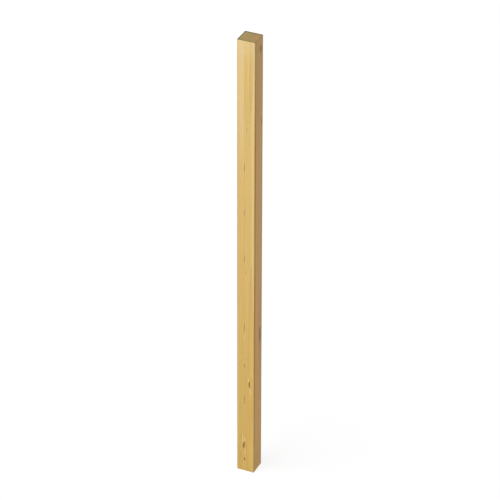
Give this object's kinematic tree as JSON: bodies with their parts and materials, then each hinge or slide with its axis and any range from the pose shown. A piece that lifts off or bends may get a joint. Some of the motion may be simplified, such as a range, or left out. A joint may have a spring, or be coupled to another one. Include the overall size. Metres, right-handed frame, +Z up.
{
  "type": "timber post",
  "caption": "Upright square timber post with lightly rounded long edges and square-cut ends, for carrying rails, boards, wire or a gate.",
  "frame": {"origin": "centre of the foot, on the ground", "axes": "+Z up along the post, -Y out of the front face, +X out of the right face"},
  "size_m": [0.09, 0.09, 2.4],
  "materials": {
    "treated_timber": "planed softwood, dull, cream yellow with fine straight grain"
  },
  "bodies": {
    "root": {"timber_post": "treated_timber"}
  },
  "joints": []
}
